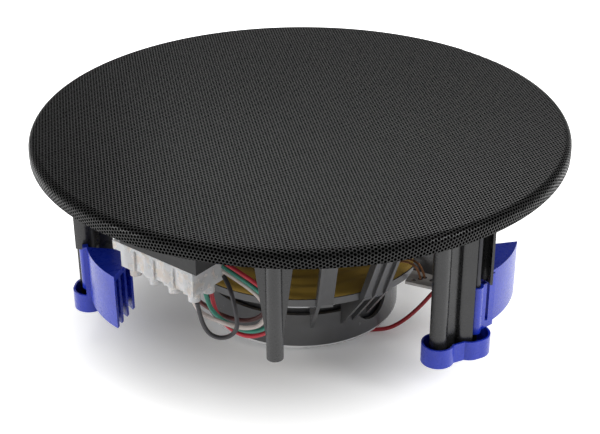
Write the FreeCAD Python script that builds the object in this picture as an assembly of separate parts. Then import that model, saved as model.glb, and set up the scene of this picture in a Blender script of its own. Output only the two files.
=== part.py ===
"""Ceiling loudspeaker: a perforated steel grille over a moulded baffle frame with
three swing-out dog clamps, a cone driver in an open basket, and a line
transformer with its terminal block on the frame's back.

Millimetres. +Z is up, the grille's side. The origin is under the centre of the
magnet's back plate, on the surface that the loudspeaker stands on. The clamp
on the right and the parts beside it are modelled where the photograph shows
them, and their copies are turned about the axis by a third of a turn.
"""
import FreeCAD
import Part
import math
import os

V = FreeCAD.Vector
AXIS = V(0, 0, 1)
THIRD = 120.0

# General clearances
SEAT_GAP = 0.3          # between pieces that only rest near each other
GLUE_GAP = 0.1          # bonded joints
RUN_GAP = 0.08          # running fit, radial

# Driver: magnet system
BACK_PLATE_R = 46.0
BACK_PLATE_T = 5.0
POLE_R = 12.0
MAGNET_R = 50.3
MAGNET_BORE_R = 22.0
MAGNET_T = 20.9
TOP_PLATE_R = 50.0
TOP_PLATE_T = 4.6
COIL_GAP = 0.8          # coil to the top plate's bore

# Driver: moving parts
FORMER_R = 13.0
FORMER_T = 0.4
FORMER_BOTTOM = 22.0
COIL_T = 0.5
COIL_HEIGHT = 9.0
CONE_NECK_Z = 52.0
CONE_EDGE_R = 80.0
CONE_EDGE_Z = 96.9
CONE_T = 0.9
CONE_MID_RUN = 33.9     # the curve's middle, out from the neck
CONE_MID_RISE = 24.5    # and up from it
DUST_CAP_R = 18.0
DUST_CAP_RISE = 5.0
DUST_CAP_T = 0.6

# Driver: spider and surround
SPIDER_FOLDS = 6
SPIDER_WAVE = 1.3
SPIDER_T = 0.6
SPIDER_RISE = 4.2
ROLL_HEIGHT = 3.8
ROLL_T = 0.5
ROLL_WIDTH = 7.6
LIP_WIDTH = 3.6

# Driver: basket
CAN_T = 1.9
CAN_GAP = 1.4           # magnet ring to the can's inside
CAN_R = MAGNET_R + CAN_GAP + CAN_T
CAN_BOTTOM = 3.0
CAN_TOP = 23.8
CAN_EDGE_R = 1.4
LANDING_R = 70.0
LANDING_WIDTH = 4.6
LANDING_Z = 39.5
LANDING_T = 3.9
ARM_FOOT_R = 72.0
ARM_FOOT_Z = 41.0
ARM_LEAN = 0.41         # outward per unit of height
ARM_T = 2.6
NARROW_ARM_AZ = -80.5
NARROW_ARM_WIDTH = 8.8
WIDE_ARM_AZ = -59.0
WIDE_ARM_WIDTH = 15.0
ARM_RIB = 1.8
ARM_RIB_T = 1.8
WEB_FOOT_Z = 16.0
SCOOP_AZ = -44.5
SCOOP_WIDTH = 23.0
SCOOP_BOTTOM = 12.0
BASKET_FLANGE_R = 101.0
BASKET_FLANGE_T = 2.7

# Grille
GRILLE_R = 140.0
GRILLE_RIM = 8.0
GRILLE_T = 1.0
GRILLE_EDGE_R = 4.0
GRILLE_BOTTOM = 103.1
GRILLE_FIT_GAP = 0.6    # inside of the grille's rim to the frame's flange
GRILLE_MAGNET_R = 4.0
GRILLE_MAGNET_T = 2.6
GRILLE_MAGNETS = 4
CLOTH_MARGIN = 5.0      # inside of the grille's rim to the cloth's edge
CLOTH_R = GRILLE_R - GRILLE_T - CLOTH_MARGIN
CLOTH_T = 0.4

# Baffle frame
FRAME_FLANGE_Z = 103.0
FRAME_FLANGE_T = 2.5
FRAME_FLANGE_R = GRILLE_R - GRILLE_T - GRILLE_FIT_GAP
MAGNET_SPOT_INSET = 7.4
MAGNET_SPOT_R = FRAME_FLANGE_R - MAGNET_SPOT_INSET
SPIGOT_R = 126.3
SPIGOT_T = 2.2
FLOOR_Z = 97.0
FLOOR_T = 2.5
FLOOR_BORE_R = 92.0

# Plain posts
POST_R = 4.1
POST_CIRCLE_R = 113.5
POST_BOTTOM = 38.5
POST_AZ = -96.2
POST_WEB_T = 2.0
POST_WEB_HALF = 9.9
POST_WEB_BOTTOM = 50.6
POST_BORE_R = 1.4
POST_BORE_DEPTH = 16.0

# Clamp housing: the screw's axis and the round post beside it
HUB_X, HUB_Y = 86.1, -79.2
CLAMP_POST_X, CLAMP_POST_Y = 67.5, -88.0
CLAMP_POST_R = 4.4
GUIDE_T = 1.9
GUIDE_FRONT = 7.1       # outer face of the long wall, from the screw's axis
GUIDE_SIDE = 9.8
GUIDE_LIP = 1.6         # how far the long wall stops short of the axis
GUIDE_BACK_R = 7.6
GUIDE_CORNER_R = 3.0
GUIDE_BACK_T = 1.2
GUIDE_SHORT_Z = 57.4    # lower end of the half-round wall
GUSSET_AZ = 137.4       # plate inwards from the guide, seen from the screw's axis
GUSSET_REACH = 14.4
WEB_T = 2.0

# Foot cup
CUP_BOTTOM = 19.6
CUP_TOP = 30.1
CUP_LOBE_R = 8.35
CUP_LOBE_RUN = 3.0      # how far the screw's lobe keeps its width towards the post
CUP_WALL = 1.0
CUP_FLOOR = 1.2
CUP_WAIST = 6.0

# Clamp screw, insert and dog
SCREW_R = 1.75
SCREW_HEAD_R = 4.0
SCREW_HEAD_T = 2.4
PIVOT_R = 3.4
PIVOT_TOP = 24.0
INSERT_R = 2.6
INSERT_LENGTH = 7.0
HUB_R = 3.3
HUB_BOTTOM = 30.6
HUB_TOP = 57.0
WING_BOTTOM = 30.7
WING_TOP = 60.7
WING_FACE_R = 60.0      # of its outer face, about an upright line through WING_CENTRE
WING_CENTRE_R = 59.7
WING_CENTRE_AZ = -28.0
WING_DEPTH = 17.8
WING_SKIN_T = 2.0
WING_TOP_T = 3.4
WING_RIB_T = 2.0
WING_RIB_DEPTHS = (5.4, 10.9, 16.8)
WING_HINGE_SIDE = ((94.6, -72.6), (87.6, -54.9))
WING_FREE_SIDE = ((111.6, -41.5), (91.6, -45.7))
BRIDGE_TOP = 35.0       # over it, a slot lets the guide's half-round wall through
BRIDGE_AZ = 40.0
BRIDGE_REACH = 11.6
BRIDGE_T = 3.0
BRIDGE_SLOT_GAP = 0.4

# Transformer and terminal block
BOX_AZ = -128.7
BOX_FACE = 111.2        # its outer face, from the loudspeaker's axis
BOX_LEFT = -23.4
BOX_RIGHT = 26.8
BOX_DEPTH = 22.0
BOX_BOTTOM = 78.0
BOX_TOP = 93.0
BOX_SEAT_DEPTH = 8.0
BLOCK_BOTTOM = 65.0
BLOCK_RIGHT = 24.2
BLOCK_WALL = 1.2
POLES = 4
POLE_PITCH = 12.9
POLE_CELL = 6.6
BARREL_ROWS = (4.0, 14.0)
BARREL_R = 3.0
BARREL_BORE_R = 2.0
BARREL_BOTTOM = 60.8
BARREL_BORE_TOP = 71.0
CONTACT_HALF = 2.4
CONTACT_HEIGHT = 8.0
CONTACT_END = 3.2       # past the middle of its outer bore
LUG_LENGTH = 5.2
LUG_WIDTH = 5.0
LUG_T = 4.6

# Tag board, and the basket's bracket along its inner long edge
TAG_TOP = 47.6
TAG_T = 1.6
TAG_CORNERS = [(52.7, -58.9), (57.6, -48.1), (72.0, -55.4), (71.5, -67.4)]
BRACKET_T = 2.0
BRACKET_RUN = 19.5      # its length from the board's inner corner
BRACKET_LEDGE = 3.0    # how far it reaches under the board
BRACKET_LEDGE_T = 1.5
BRACKET_SHOULDER = 86.0

# Wires: diameter and route of each, from end to end
WIRE_ROUTES = {
    "wire_white": (2.2, [
        (-36.9, -86.2, 70.2), (-30.6, -90.0, 67.8), (-24.2, -92.2, 63.9), (-18.9, -94.4, 59.6),
        (-15.8, -96.9, 53.4), (-19.0, -97.8, 46.9), (-25.6, -98.2, 45.2), (-32.6, -98.2, 46.6),
        (-39.6, -97.8, 49.6), (-45.0, -97.2, 51.6), (-49.4, -96.4, 55.0), (-51.3, -95.9, 60.2)]),
    "wire_green": (2.2, [
        (-37.3, -85.9, 72.9), (-30.6, -90.8, 70.6), (-24.1, -93.0, 66.8), (-18.2, -95.0, 62.4),
        (-13.4, -96.4, 56.8), (-12.9, -96.8, 49.4), (-17.2, -96.2, 43.6), (-24.0, -95.2, 41.2),
        (-31.0, -94.0, 42.4), (-37.2, -92.8, 45.8), (-42.0, -91.6, 50.2), (-44.8, -90.6, 55.4),
        (-45.7, -90.1, 60.2)]),
    "wire_red": (2.2, [
        (-37.3, -85.9, 75.6), (-30.2, -90.8, 73.1), (-23.6, -93.0, 69.3), (-17.5, -95.0, 65.2),
        (-11.8, -96.0, 60.2), (-9.4, -96.2, 53.0), (-11.6, -95.6, 45.2), (-17.6, -94.6, 39.6),
        (-25.4, -93.6, 37.2), (-32.8, -91.4, 39.2), (-38.6, -89.2, 44.2), (-42.3, -88.0, 51.0),
        (-43.2, -87.8, 60.2)]),
    "wire_brown": (2.2, [
        (-54.4, -81.0, 60.2), (-53.2, -81.4, 54.8), (-49.4, -82.6, 50.6), (-44.0, -84.2, 47.4),
        (-38.4, -86.0, 45.0), (-32.1, -87.8, 43.6), (-25.4, -89.4, 44.0), (-19.6, -90.8, 47.0),
        (-15.8, -91.2, 52.5), (-13.6, -91.2, 59.5), (-12.6, -92.6, 66.5), (-12.3, -97.2, 71.2),
        (-12.2, -103.0, 72.6), (-12.2, -108.3, 72.6)]),
    "wire_black": (2.2, [
        (-36.9, -86.2, 67.5), (-34.0, -92.2, 65.2), (-32.4, -96.6, 61.6), (-31.0, -100.0, 56.9),
        (-30.0, -101.5, 48.0), (-33.0, -101.9, 43.8), (-37.8, -101.8, 42.0), (-42.8, -101.3, 43.3),
        (-46.1, -100.6, 47.3), (-48.0, -99.7, 53.6), (-49.2, -98.6, 60.2)]),
    "wire_lead": (2.2, [
        (33.6, -33.2, 1.3), (40.4, -33.2, 1.3), (48.2, -32.0, 1.6), (55.4, -30.9, 5.6),
        (61.6, -30.6, 11.6), (66.6, -30.9, 18.0), (70.4, -32.4, 24.6), (73.2, -37.4, 29.6),
        (74.2, -44.8, 32.6), (72.8, -52.0, 34.8), (69.6, -57.4, 38.8), (67.9, -59.2, 45.4)]),
    "tinsel_lead_1": (1.2, [
        (21.5, -33.5, 71.0), (22.6, -34.4, 66.0), (29.0, -38.0, 59.6), (38.5, -42.4, 54.4),
        (48.5, -46.8, 52.0), (54.5, -51.0, 54.5), (59.5, -55.6, 53.2), (60.6, -56.8, 47.85)]),
    "tinsel_lead_2": (1.2, [
        (24.5, -31.0, 70.8), (25.6, -31.8, 65.8), (32.0, -35.4, 59.8), (41.2, -40.2, 54.8),
        (51.0, -44.8, 52.4), (56.6, -49.2, 54.8), (61.4, -54.0, 53.4), (62.9, -55.6, 47.85)]),
}

# Screws of the driver
DRIVER_SCREWS = 6
DRIVER_SCREW_CIRCLE_R = 97.0
DRIVER_SCREW_AZ = -100.0
DRIVER_SCREW_R = 1.6
DRIVER_HEAD_R = 3.2
DRIVER_HEAD_T = 2.2
BASKET_SCREW_CIRCLE_R = 46.0
BASKET_SCREW_R = 2.0
BASKET_HEAD_R = 3.6
BASKET_HEAD_T = 2.4
BASKET_LUG_T = 3.0

# Derived heights of the driver
magnet_z = BACK_PLATE_T
plate_z = magnet_z + MAGNET_T
plate_top = plate_z + TOP_PLATE_T
landing_top = LANDING_Z + LANDING_T
plate_bore_r = FORMER_R + COIL_T + COIL_GAP
grille_top = GRILLE_BOTTOM + GRILLE_RIM


# Small geometry helpers
def cylinder(radius, z0, z1, x=0.0, y=0.0):
    return Part.makeCylinder(radius, z1 - z0, V(x, y, z0))


def ring(outer, inner, z0, z1, x=0.0, y=0.0):
    return cylinder(outer, z0, z1, x, y).cut(cylinder(inner, z0 - 1, z1 + 1, x, y))


def prism(points, z0, z1):
    wire = Part.makePolygon([V(x, y, z0) for x, y in points + points[:1]])
    return Part.Face(wire).extrude(V(0, 0, z1 - z0))


def turned(profile):
    """Solid of revolution of a closed (radius, height) polygon."""
    wire = Part.makePolygon([V(r, 0, z) for r, z in profile + profile[:1]])
    return Part.Face(wire).revolve(V(0, 0, 0), AXIS, 360)


def turned_edges(edges):
    return Part.Face(Part.Wire(edges)).revolve(V(0, 0, 0), AXIS, 360)


def radial_plate(profile, az, thickness):
    """Upright plate on the radius at az, from a closed (radius, height) polygon."""
    wire = Part.makePolygon([V(r, -thickness / 2, z) for r, z in profile + profile[:1]])
    plate = Part.Face(wire).extrude(V(0, thickness, 0))
    return turn(plate, az)


def turn(shape, degrees):
    copy = shape.copy()
    copy.rotate(V(0, 0, 0), AXIS, degrees)
    return copy


def fused(shapes):
    return shapes[0].multiFuse(shapes[1:]).removeSplitter()


def polar(radius, az):
    return radius * math.cos(math.radians(az)), radius * math.sin(math.radians(az))


def line(a, b):
    return Part.LineSegment(a, b).toShape()


def arc(a, middle, b):
    return Part.Arc(a, middle, b).toShape()


def box_frame(shape):
    """From (along, depth, height) of the transformer's face to its place."""
    copy = shape.copy()
    copy.rotate(V(0, 0, 0), AXIS, BOX_AZ + 90)
    x, y = polar(BOX_FACE, BOX_AZ)
    copy.translate(V(x, y, 0))
    return copy


def face_box(s0, s1, d0, d1, z0, z1):
    """Box on the transformer's face: s along it, d inwards from it."""
    return box_frame(Part.makeBox(s1 - s0, d1 - d0, z1 - z0, V(s0, d0, z0)))


def face_cylinder(radius, s, d, z0, z1):
    return box_frame(cylinder(radius, z0, z1, s, d))


# Grille
def make_grille():
    shell = Part.makeCylinder(GRILLE_R, GRILLE_RIM, V(0, 0, GRILLE_BOTTOM))
    top_edge = [e for e in shell.Edges if abs(e.CenterOfMass.z - grille_top) < 1e-6 and e.Closed]
    shell = shell.makeFillet(GRILLE_EDGE_R, top_edge)
    inside_top = grille_top - GRILLE_T
    inside = Part.makeCylinder(GRILLE_R - GRILLE_T, inside_top - GRILLE_BOTTOM + 1,
                               V(0, 0, GRILLE_BOTTOM - 1))
    top_edge = [e for e in inside.Edges if abs(e.CenterOfMass.z - inside_top) < 1e-6 and e.Closed]
    inside = inside.makeFillet(GRILLE_EDGE_R - GRILLE_T, top_edge)
    return shell.cut(inside)


def make_grille_cloth():
    return cylinder(CLOTH_R, cloth_top - CLOTH_T, cloth_top)


cloth_top = grille_top - GRILLE_T - GLUE_GAP
magnet_top = cloth_top - CLOTH_T - GLUE_GAP
magnet_spots = [polar(MAGNET_SPOT_R, 360.0 / GRILLE_MAGNETS * k + 45) for k in range(GRILLE_MAGNETS)]


def make_grille_magnet(k):
    x, y = magnet_spots[k]
    return cylinder(GRILLE_MAGNET_R, magnet_top - GRILLE_MAGNET_T, magnet_top, x, y)


# Clamp geometry shared by the frame, cup, screw, insert and dog
guide_arc_in = GUIDE_BACK_R - GUIDE_BACK_T
to_post = V(CLAMP_POST_X - HUB_X, CLAMP_POST_Y - HUB_Y, 0)
post_dir = V(to_post).normalize()
post_side = V(-post_dir.y, post_dir.x, 0)
cup_floor_top = CUP_BOTTOM + CUP_FLOOR


def strip(start, end, half, z0, z1):
    """Straight bar of the given half width between two plan points."""
    a, b = V(start[0], start[1], 0), V(end[0], end[1], 0)
    n = V(b - a).normalize()
    n = V(-n.y * half, n.x * half, 0)
    corners = [a + n, b + n, b - n, a - n]
    return prism([(c.x, c.y) for c in corners], z0, z1)


def clamp_guide():
    """Walls that close round the dog's hub, with the round post beside them."""
    x, y = HUB_X, HUB_Y
    top = FLOOR_Z + FLOOR_T / 2
    low = cup_floor_top
    corner_x, corner_y = x - GUIDE_SIDE + GUIDE_CORNER_R, y - GUIDE_FRONT + GUIDE_CORNER_R
    front = Part.makeBox(GUIDE_SIDE - GUIDE_CORNER_R - GUIDE_LIP, GUIDE_T, top - low,
                         V(corner_x, y - GUIDE_FRONT, low))
    corner = ring(GUIDE_CORNER_R, GUIDE_CORNER_R - GUIDE_T, low, top, corner_x, corner_y)
    quarter = Part.makeBox(GUIDE_CORNER_R, GUIDE_CORNER_R, top - low,
                           V(corner_x - GUIDE_CORNER_R, corner_y - GUIDE_CORNER_R, low))
    corner = corner.common(quarter)
    side = Part.makeBox(GUIDE_T, GUIDE_FRONT - GUIDE_CORNER_R - 1, top - low,
                        V(x - GUIDE_SIDE, corner_y, low))
    side_high = Part.makeBox(GUIDE_T, 4.0, top - GUIDE_SHORT_Z, V(x - GUIDE_SIDE, y - 1, GUIDE_SHORT_Z))
    join = Part.makeBox(GUIDE_SIDE - guide_arc_in - 0.3, GUIDE_T, top - GUIDE_SHORT_Z,
                        V(x - GUIDE_SIDE, y + 1.1, GUIDE_SHORT_Z))
    back = ring(GUIDE_BACK_R, guide_arc_in, GUIDE_SHORT_Z, top, x, y)
    half = Part.makeBox(2 * GUIDE_SIDE, GUIDE_SIDE, top - GUIDE_SHORT_Z, V(x - GUIDE_SIDE, y, GUIDE_SHORT_Z))
    back = back.common(half)
    post = cylinder(CLAMP_POST_R, low, top, CLAMP_POST_X, CLAMP_POST_Y)
    web_end = (x - GUIDE_SIDE + GUIDE_T / 2, y - 3.6)
    web = strip((CLAMP_POST_X, CLAMP_POST_Y), web_end, WEB_T / 2, low, top)
    near, far = polar(GUIDE_BACK_R - GUIDE_BACK_T / 2, GUSSET_AZ), polar(GUSSET_REACH, GUSSET_AZ)
    gusset = strip((x + near[0], y + near[1]), (x + far[0], y + far[1]), WEB_T / 2, POST_WEB_BOTTOM, top)
    return fused([front, corner, side, side_high, join, back, post, web, gusset])


def plain_post():
    top = FLOOR_Z + FLOOR_T / 2
    rod = cylinder(POST_R, POST_BOTTOM, top, POST_CIRCLE_R, 0)
    rod = rod.cut(cylinder(POST_BORE_R, POST_BOTTOM - 1, POST_BOTTOM + POST_BORE_DEPTH, POST_CIRCLE_R, 0))
    outline = [(-POST_R, POST_WEB_BOTTOM), (POST_R, POST_WEB_BOTTOM),
               (POST_WEB_HALF, FLOOR_Z), (-POST_WEB_HALF, FLOOR_Z)]
    x = POST_CIRCLE_R - POST_WEB_T / 2
    wire = Part.makePolygon([V(x, a, z) for a, z in outline + outline[:1]])
    web = Part.Face(wire).extrude(V(POST_WEB_T, 0, 0))
    return turn(fused([rod, web]), POST_AZ)


driver_screw_spots = [polar(DRIVER_SCREW_CIRCLE_R, DRIVER_SCREW_AZ + 360.0 / DRIVER_SCREWS * k)
                      for k in range(DRIVER_SCREWS)]
ear_spots = [(-12.0, 4.0), (14.0, 4.0)]


def make_frame():
    flange_top = FRAME_FLANGE_Z + FRAME_FLANGE_T
    body = turned([
        (FLOOR_BORE_R, FLOOR_Z), (SPIGOT_R, FLOOR_Z), (SPIGOT_R, FRAME_FLANGE_Z),
        (FRAME_FLANGE_R, FRAME_FLANGE_Z), (FRAME_FLANGE_R, flange_top),
        (SPIGOT_R - SPIGOT_T, flange_top), (SPIGOT_R - SPIGOT_T, FLOOR_Z + FLOOR_T),
        (FLOOR_BORE_R, FLOOR_Z + FLOOR_T)])
    pieces = [body]
    for x, y in magnet_spots:
        pieces.append(cylinder(GRILLE_MAGNET_R + 1, FRAME_FLANGE_Z, magnet_top - GRILLE_MAGNET_T, x, y))
    guide, post = clamp_guide(), plain_post()
    for k in range(3):
        pieces += [turn(guide, THIRD * k), turn(post, THIRD * k)]
    body = fused(pieces)
    hole = cylinder(SCREW_R + SEAT_GAP, FLOOR_Z - 1, FLOOR_Z + FLOOR_T + 1, HUB_X, HUB_Y)
    cuts = [turn(hole, THIRD * k) for k in range(3)]
    cuts += [cylinder(DRIVER_SCREW_R, FLOOR_Z - 1, FLOOR_Z + FLOOR_T + 1, x, y)
             for x, y in driver_screw_spots]
    for cut in cuts:
        body = body.cut(cut)
    return body


# Driver
def arm_r(z):
    return ARM_FOOT_R + ARM_LEAN * (z - ARM_FOOT_Z)


basket_top = FLOOR_Z
flange_bottom = basket_top - BASKET_FLANGE_T
landing_in = LANDING_R - LANDING_WIDTH


def arm(az, width, ribs):
    """Leaning strut: a plate across the radius with upright ribs on its outer face."""
    inner = ARM_FOOT_R - ARM_T
    plate = radial_plate([(inner, ARM_FOOT_Z - 1.5), (ARM_FOOT_R, ARM_FOOT_Z - 1.5),
                          (ARM_FOOT_R, ARM_FOOT_Z), (arm_r(basket_top - 1), basket_top - 1),
                          (arm_r(basket_top - 1) - ARM_T, basket_top - 1), (inner, ARM_FOOT_Z)], az, width)
    pieces = [plate]
    for shift, to_can in ribs:
        web = [(ARM_FOOT_R - 1, ARM_FOOT_Z - 1.5), (ARM_FOOT_R + ARM_RIB, ARM_FOOT_Z + 1),
               (arm_r(flange_bottom) + ARM_RIB, flange_bottom), (arm_r(flange_bottom) - 1, flange_bottom)]
        pieces.append(offset_rib(web, az, shift))
        if to_can:
            root = [(CAN_R - 0.8, WEB_FOOT_Z), (CAN_R, WEB_FOOT_Z), (ARM_FOOT_R + ARM_RIB, ARM_FOOT_Z + 1),
                    (ARM_FOOT_R - ARM_T, landing_top - 1), (landing_in, LANDING_Z + 1),
                    (CAN_R - 0.8, CAN_TOP + 5)]
            pieces.append(offset_rib(root, az, shift))
    return fused(pieces)


def offset_rib(profile, az, shift):
    wire = Part.makePolygon([V(r, shift - ARM_RIB_T / 2, z) for r, z in profile + profile[:1]])
    return turn(Part.Face(wire).extrude(V(0, ARM_RIB_T, 0)), az)


basket_screw_spots = [polar(BASKET_SCREW_CIRCLE_R, WIDE_ARM_AZ + THIRD * k) for k in range(3)]
lug_top = plate_top + BASKET_LUG_T


def tag_bracket():
    """Upright plate that hangs from the flange along the tag board, with a ledge under it."""
    a, b = (V(x, y, 0) for x, y in TAG_CORNERS[1:3])
    along = V(b - a).normalize()
    out = V(-along.y, along.x, 0)
    low = TAG_TOP - TAG_T - GLUE_GAP - BRACKET_LEDGE_T
    face = a + out * GLUE_GAP
    outline = [(0, low), (BRACKET_RUN, low), (BRACKET_RUN, flange_bottom + 0.5),
               (BRACKET_RUN - 4.0, flange_bottom + 0.5), (BRACKET_RUN - 8.0, BRACKET_SHOULDER),
               (0, BRACKET_SHOULDER)]
    corners = [face + along * t + V(0, 0, z) for t, z in outline]
    plate = Part.Face(Part.makePolygon(corners + corners[:1])).extrude(out * BRACKET_T)
    start = face + out * (BRACKET_T / 2)
    ledge = [start, start + along * BRACKET_RUN,
             start + along * BRACKET_RUN - out * (BRACKET_T / 2 + BRACKET_LEDGE),
             start - out * (BRACKET_T / 2 + BRACKET_LEDGE)]
    return fused([plate, prism([(c.x, c.y) for c in ledge], low, low + BRACKET_LEDGE_T)])


def make_basket():
    floor_t =BACK_PLATE_T - CAN_BOTTOM - SEAT_GAP
    can = turned([
        (BACK_PLATE_R + SEAT_GAP, CAN_BOTTOM), (CAN_R, CAN_BOTTOM), (CAN_R, CAN_TOP),
        (CAN_R - CAN_T, CAN_TOP), (CAN_R - CAN_T, CAN_BOTTOM + floor_t),
        (BACK_PLATE_R + SEAT_GAP, CAN_BOTTOM + floor_t)])
    rim = [e for e in can.Edges if e.Closed and abs(e.CenterOfMass.z - CAN_BOTTOM) < 1e-6
           and e.Length > 2 * math.pi * (CAN_R - 0.1)]
    can = can.makeFillet(CAN_EDGE_R, rim)
    landing = ring(LANDING_R, landing_in, LANDING_Z, landing_top)
    flange = ring(BASKET_FLANGE_R, CONE_EDGE_R + ROLL_WIDTH, flange_bottom, basket_top)
    narrow = arm(NARROW_ARM_AZ, NARROW_ARM_WIDTH, [(-NARROW_ARM_WIDTH / 2 + 1.2, True)])
    edge = WIDE_ARM_WIDTH / 2 - ARM_RIB_T / 2
    wide = arm(WIDE_ARM_AZ, WIDE_ARM_WIDTH, [(-edge, True), (0.0, True), (edge, True)])
    lug_r = BASKET_HEAD_R + 1
    lug = cylinder(lug_r, plate_top, lug_top, BASKET_SCREW_CIRCLE_R, 0)
    bar = Part.makeBox(CAN_R - BASKET_SCREW_CIRCLE_R, 2 * lug_r, BASKET_LUG_T,
                       V(BASKET_SCREW_CIRCLE_R, -lug_r, plate_top))
    brace = Part.makeBox(CAN_T, 2 * lug_r, lug_top - CAN_TOP + 4,
                         V(CAN_R - CAN_T, -lug_r, CAN_TOP - 4))
    lug = turn(fused([lug, bar, brace]), WIDE_ARM_AZ)
    pieces = [can, landing, flange, tag_bracket()]
    for k in range(3):
        pieces += [turn(s, THIRD * k) for s in (narrow, wide, lug)]
    body = fused(pieces)
    scoop_r = SCOOP_WIDTH / 2
    scoop = fused([
        Part.makeCylinder(scoop_r, 8, V(CAN_R - 5, 0, SCOOP_BOTTOM + scoop_r), V(1, 0, 0)),
        Part.makeBox(8, SCOOP_WIDTH, 6, V(CAN_R - 5, -scoop_r, SCOOP_BOTTOM + scoop_r))])
    for k in range(3):
        body = body.cut(turn(scoop, SCOOP_AZ + THIRD * k))
    for x, y in basket_screw_spots:
        body = body.cut(cylinder(BASKET_SCREW_R + GLUE_GAP, plate_top - 1, lug_top + 1, x, y))
    for x, y in driver_screw_spots:
        body = body.cut(cylinder(DRIVER_SCREW_R + GLUE_GAP, flange_bottom - 1, basket_top + 1, x, y))
    return body


def make_back_plate():
    return fused([cylinder(BACK_PLATE_R, 0, BACK_PLATE_T), cylinder(POLE_R, 0, plate_top + 0.5)])


def make_magnet():
    return ring(MAGNET_R, MAGNET_BORE_R, magnet_z, plate_z)


def make_top_plate():
    plate = ring(TOP_PLATE_R, plate_bore_r, plate_z, plate_top)
    for x, y in basket_screw_spots:
        plate = plate.cut(cylinder(BASKET_SCREW_R, plate_z - 1, plate_top + 1, x, y))
    return plate


def make_former():
    return ring(FORMER_R, FORMER_R - FORMER_T, FORMER_BOTTOM, CONE_NECK_Z + 3)


def make_coil():
    middle = plate_z + TOP_PLATE_T / 2
    return ring(FORMER_R + COIL_T, FORMER_R + 0.02, middle - COIL_HEIGHT / 2, middle + COIL_HEIGHT / 2)


def cone_edges(shift):
    """The cone's curved generator, raised by shift."""
    a = V(FORMER_R + GLUE_GAP, 0, CONE_NECK_Z + shift)
    m = a + V(CONE_MID_RUN, 0, CONE_MID_RISE)
    b = V(CONE_EDGE_R - LIP_WIDTH, 0, CONE_EDGE_Z - CONE_T + shift)
    return a, m, b


def make_cone():
    a, m, b = cone_edges(0)
    a2, m2, b2 = cone_edges(CONE_T)
    rim_low = V(CONE_EDGE_R, 0, b.z)
    rim_high = V(CONE_EDGE_R, 0, b2.z)
    return turned_edges([arc(a, m, b), line(b, rim_low), line(rim_low, rim_high), line(rim_high, b2),
                         arc(b2, m2, a2), line(a2, a)])


def make_dust_cap():
    base = CONE_NECK_Z + 5.6
    sphere_r = (DUST_CAP_R ** 2 + DUST_CAP_RISE ** 2) / (2 * DUST_CAP_RISE)
    centre = base + DUST_CAP_RISE - sphere_r

    def on(radius, r):
        return V(r, 0, centre + math.sqrt(radius ** 2 - r ** 2))
    outer, inner = sphere_r, sphere_r - DUST_CAP_T
    rim = DUST_CAP_R
    return turned_edges([
        arc(on(outer, 0), on(outer, rim / 2), on(outer, rim)), line(on(outer, rim), on(inner, rim)),
        arc(on(inner, rim), on(inner, rim / 2), on(inner, 0)), line(on(inner, 0), on(outer, 0))])


def make_surround():
    """Half roll between the cone's rim and the basket's flange, with a lip on each."""
    seat = basket_top
    r0, r1 = CONE_EDGE_R, CONE_EDGE_R + ROLL_WIDTH
    lip_in, lip_out = r0 - LIP_WIDTH + 0.6, r1 + LIP_WIDTH
    z0, z1 = seat, seat + ROLL_T
    crown = z0 + ROLL_HEIGHT
    mid = (r0 + r1) / 2
    return turned_edges([
        line(V(lip_in, 0, z0), V(r0, 0, z0)), arc(V(r0, 0, z0), V(mid, 0, crown - ROLL_T), V(r1, 0, z0)),
        line(V(r1, 0, z0), V(lip_out, 0, z0)), line(V(lip_out, 0, z0), V(lip_out, 0, z1)),
        line(V(lip_out, 0, z1), V(r1 + 0.2, 0, z1)),
        arc(V(r1 + 0.2, 0, z1), V(mid, 0, crown), V(r0 - 0.2, 0, z1)),
        line(V(r0 - 0.2, 0, z1), V(lip_in, 0, z1)), line(V(lip_in, 0, z1), V(lip_in, 0, z0))])


def make_spider():
    """Corrugated cloth disc from the landing ring to the voice coil's former."""
    outer, flat = LANDING_R - 0.8, landing_in - 0.6
    inner = FORMER_R + GLUE_GAP + 1.6
    steps = 2 * SPIDER_FOLDS
    low = [(outer, landing_top), (flat, landing_top)]
    for k in range(1, steps):
        share = k / steps
        r = flat + (inner - flat) * share
        wave = SPIDER_WAVE if k % 2 else 0.0
        low.append((r, landing_top + (SPIDER_RISE - SPIDER_WAVE) * share + wave))
    low += [(inner, landing_top + SPIDER_RISE - SPIDER_T),
            (FORMER_R + GLUE_GAP, landing_top + SPIDER_RISE - SPIDER_T)]
    high = [(r, z + SPIDER_T) for r, z in reversed(low)]
    return turned(low + high)


def make_driver_screw(k):
    x, y = driver_screw_spots[k]
    head = cylinder(DRIVER_HEAD_R, flange_bottom - DRIVER_HEAD_T, flange_bottom, x, y)
    return fused([head, cylinder(DRIVER_SCREW_R, flange_bottom - 0.1, FLOOR_Z + FLOOR_T + 1.5, x, y)])


def make_basket_screw(k):
    x, y = basket_screw_spots[k]
    head = cylinder(BASKET_HEAD_R, lug_top, lug_top + BASKET_HEAD_T, x, y)
    return fused([head, cylinder(BASKET_SCREW_R, plate_z + 0.3, lug_top + 0.1, x, y)])


# Clamps
def cup_outline(radius, waist, z0, z1):
    lobes = [cylinder(radius, z0, z1, HUB_X, HUB_Y), cylinder(radius, z0, z1, CLAMP_POST_X, CLAMP_POST_Y)]
    run = V(HUB_X, HUB_Y, 0) + post_dir * CUP_LOBE_RUN
    lobes += [cylinder(radius, z0, z1, run.x, run.y), strip((HUB_X, HUB_Y), (run.x, run.y), radius, z0, z1)]
    return fused(lobes + [strip((HUB_X, HUB_Y), (CLAMP_POST_X, CLAMP_POST_Y), waist, z0, z1)])


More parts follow.
